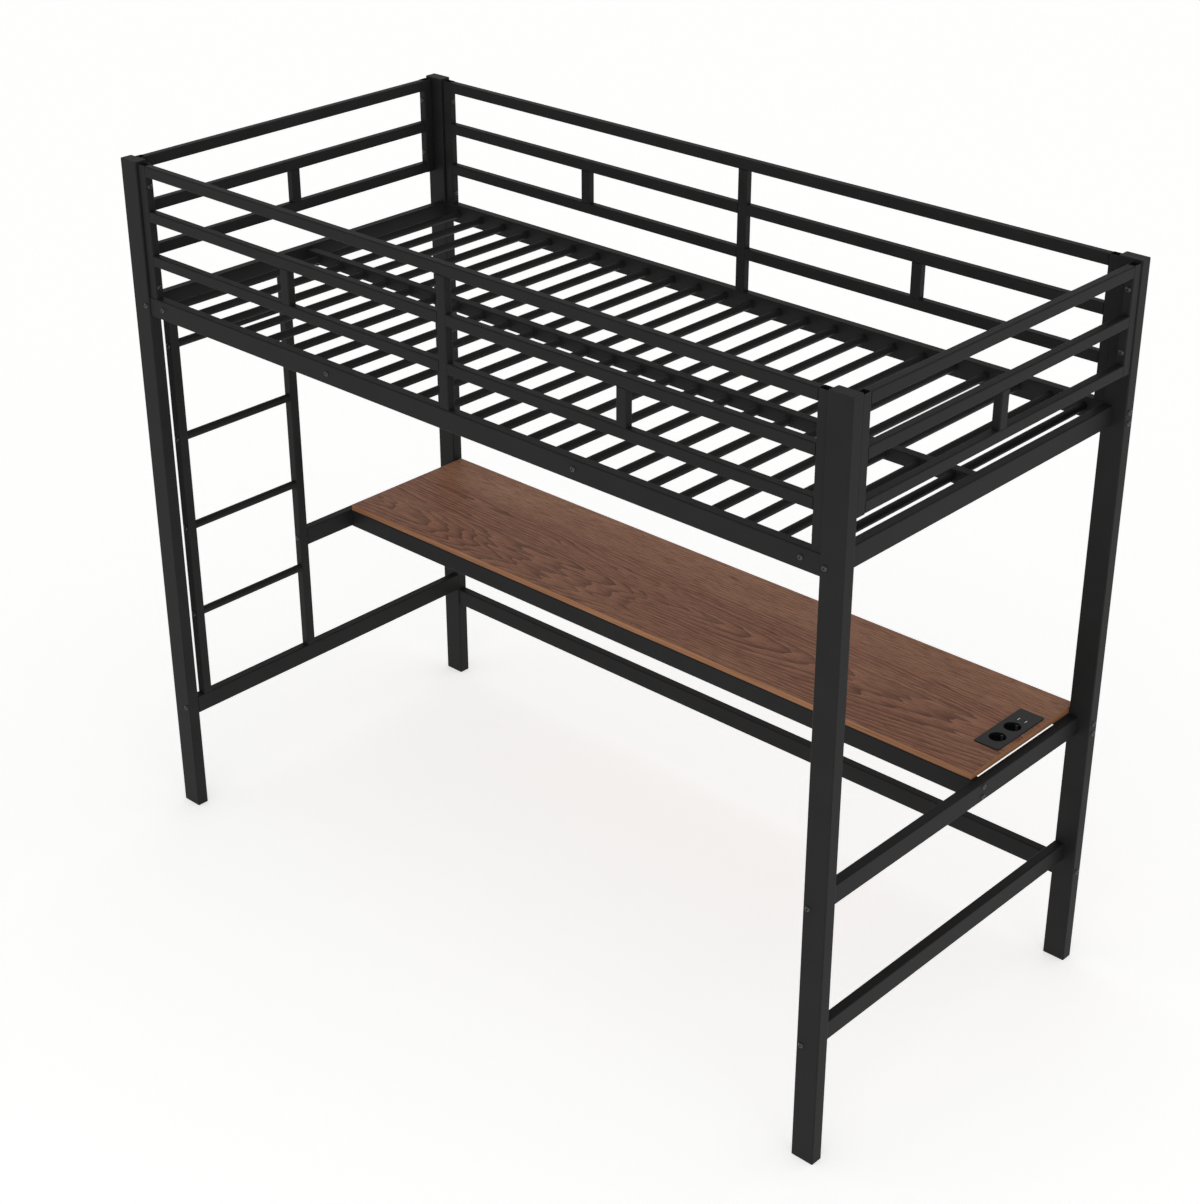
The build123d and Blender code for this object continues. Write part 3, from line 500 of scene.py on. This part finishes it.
def arches(centre, squeeze, rings, swirl):
    """Growth rings cut almost flat: ellipses drawn out along the board, bent by slow noise."""
    shift = add_node(tree, "ShaderNodeVectorMath", {"operation": "SUBTRACT"}, {
        0: place.outputs["Object"], 1: centre})
    drawn = add_node(tree, "ShaderNodeVectorMath", {"operation": "MULTIPLY"}, {
        0: shift.outputs["Vector"], 1: (squeeze, 1.0, 1.0)})
    sway = add_node(tree, "ShaderNodeTexNoise", inputs={
        "Vector": drawn.outputs["Vector"], "Scale": 9.0, "Detail": 3.0, "Roughness": 0.55})
    bend = add_node(tree, "ShaderNodeVectorMath", {"operation": "MULTIPLY_ADD"}, {
        0: sway.outputs["Color"], 1: (swirl, swirl, 0.0), 2: drawn.outputs["Vector"]})
    return add_node(tree, "ShaderNodeTexWave", {
        "wave_type": "RINGS", "rings_direction": "SPHERICAL", "wave_profile": "SAW"}, {
        "Vector": bend.outputs["Vector"], "Scale": rings, "Distortion": 1.2, "Detail": 3.0,
        "Detail Scale": 1.4}).outputs["Fac"]


front_arch = arches(
    (-0.62, board_low.y + 0.13, board_high.z), squeeze=0.13, rings=30.0, swirl=0.11)
middle_arch = arches(
    (0.42, board_low.y + 0.19, board_high.z), squeeze=0.10, rings=29.0, swirl=0.08)
straight = arches(
    (0.1, board_high.y + 0.30, board_high.z), squeeze=0.03, rings=34.0, swirl=0.03)

spot = add_node(tree, "ShaderNodeSeparateXYZ", inputs={"Vector": place.outputs["Object"]})
along_board = add_node(tree, "ShaderNodeMapRange", inputs={
    "Value": spot.outputs["X"], "From Min": -0.14, "From Max": 0.02})
front_mix = add_node(tree, "ShaderNodeMix", inputs={
    "Factor": along_board.outputs["Result"], "A": front_arch, "B": middle_arch})
plank_line = add_node(tree, "ShaderNodeMapRange", inputs={
    "Value": spot.outputs["Y"], "From Min": board_low.y + PLANK_LINE * board_deep,
    "From Max": board_low.y + (PLANK_LINE + PLANK_BLEND) * board_deep})
rings_all = add_node(tree, "ShaderNodeMix", inputs={
    "Factor": plank_line.outputs["Result"], "A": front_mix.outputs["Result"], "B": straight})

pore_place = add_node(tree, "ShaderNodeVectorMath", {"operation": "MULTIPLY"}, {
    0: place.outputs["Object"], 1: (1 / PORE_LONG, 1 / PORE_WIDE, 1.0)})
pores = add_node(tree, "ShaderNodeTexNoise", inputs={
    "Vector": pore_place.outputs["Vector"], "Scale": 1.0, "Detail": 2.0, "Roughness": 0.6})
pore_mask = add_node(tree, "ShaderNodeMapRange", inputs={
    "Value": pores.outputs["Fac"], "From Min": 0.34, "From Max": 0.52})
patch_place = add_node(tree, "ShaderNodeVectorMath", {"operation": "MULTIPLY"}, {
    0: place.outputs["Object"], 1: (1.6, 9.0, 1.0)})
patches = add_node(tree, "ShaderNodeTexNoise", inputs={
    "Vector": patch_place.outputs["Vector"], "Scale": 1.5, "Detail": 3.0})

grain_ramp = add_node(tree, "ShaderNodeValToRGB", inputs={"Fac": rings_all.outputs["Result"]})
ramp = grain_ramp.color_ramp
ramp.elements[0].position = 0.0
ramp.elements[0].color = linear("#b37b5f")
ramp.elements[1].position = 1.0
ramp.elements[1].color = linear("#694333")
ramp.elements.new(0.55).color = linear("#9f6b52")
pale = add_node(tree, "ShaderNodeMapRange", inputs={
    "Value": patches.outputs["Fac"], "From Min": 0.45, "From Max": 0.7, "To Max": 0.4})
back_pale = add_node(tree, "ShaderNodeMath", {"operation": "MULTIPLY_ADD", "use_clamp": True}, {
    0: plank_line.outputs["Result"], 1: 0.38, 2: pale.outputs["Result"]})
toned = add_node(tree, "ShaderNodeMix", {"data_type": "RGBA"}, {
    0: back_pale.outputs["Value"], 6: grain_ramp.outputs["Color"], 7: linear("#b88868")})
pored = add_node(tree, "ShaderNodeMix", {"data_type": "RGBA"}, {
    0: pore_mask.outputs["Result"], 6: linear("#664434"), 7: toned.outputs[2]})
emboss = add_node(tree, "ShaderNodeBump", inputs={
    "Height": pore_mask.outputs["Result"], "Strength": 0.25, "Distance": 0.0002})
sheen = add_node(tree, "ShaderNodeMapRange", inputs={
    "Value": pore_mask.outputs["Result"], "To Min": 0.62, "To Max": 0.46})
film = add_node(tree, "ShaderNodeBsdfPrincipled", inputs={
    "Base Color": pored.outputs[2], "Roughness": sheen.outputs["Result"],
    "Specular IOR Level": 0.14, "Normal": emboss.outputs["Normal"]})
add_node(tree, "ShaderNodeOutputMaterial", inputs={"Surface": film.outputs["BSDF"]})
coat_node(["desk_board"], laminate)

# Edge bands: 1 mm strips in a plainer, more orange wood print, glued on and trimmed flush.
band_print, tree = blank_material("edge_band_print")
place = add_node(tree, "ShaderNodeTexCoord")
streak_place = add_node(tree, "ShaderNodeVectorMath", {"operation": "MULTIPLY"}, {
    0: place.outputs["Object"], 1: (6.0, 6.0, 320.0)})
streaks = add_node(tree, "ShaderNodeTexNoise", inputs={
    "Vector": streak_place.outputs["Vector"], "Scale": 1.0, "Detail": 3.0})
band_ramp = add_node(tree, "ShaderNodeValToRGB", inputs={"Fac": streaks.outputs["Fac"]})
band_ramp.color_ramp.elements[0].position = 0.3
band_ramp.color_ramp.elements[0].color = linear("#7f5439")
band_ramp.color_ramp.elements[1].position = 0.7
band_ramp.color_ramp.elements[1].color = linear("#a07250")
band_film = add_node(tree, "ShaderNodeBsdfPrincipled", inputs={
    "Base Color": band_ramp.outputs["Color"], "Roughness": 0.5, "Specular IOR Level": 0.16})
add_node(tree, "ShaderNodeOutputMaterial", inputs={"Surface": band_film.outputs["BSDF"]})
coat_node(["desk_edge_bands"], band_print)

# Power outlet: a plate, a housing and two socket wells moulded in black ABS with a fine mould
# grain. Brass sleeves stand under the pin holes, and white tongues in the two USB ports.
abs_black = moulded(
    "black_moulded_abs", "#141415", 1400.0, (0.2, 0.00015), (0.34, 0.46), 0.24)
coat_node(["outlet_faceplate", "outlet_housing", "socket_well_1", "socket_well_2",
           "cord_gland"], abs_black)

for name, colour, metal, rough, nodes in (
    ("stamped_brass", "#c9a35a", 1.0, 0.34, ["pin_sleeves"]),
    ("white_usb_nylon", "#fafaf7", 0.0, 0.5, ["usb_tongues"]),
    ("green_solder_mask", "#1d5a36", 0.0, 0.38, ["usb_board"]),
):
    small_material, tree = blank_material(name)
    place = add_node(tree, "ShaderNodeTexCoord")
    mottle = add_node(tree, "ShaderNodeTexNoise", inputs={
        "Vector": place.outputs["Object"], "Scale": 600.0})
    matt = add_node(tree, "ShaderNodeMapRange", inputs={
        "Value": mottle.outputs["Fac"], "To Min": rough - 0.06, "To Max": rough + 0.06})
    body = add_node(tree, "ShaderNodeBsdfPrincipled", inputs={
        "Base Color": linear(colour), "Metallic": metal, "Roughness": matt.outputs["Result"]})
    add_node(tree, "ShaderNodeOutputMaterial", inputs={"Surface": body.outputs["BSDF"]})
    coat_node(nodes, small_material)
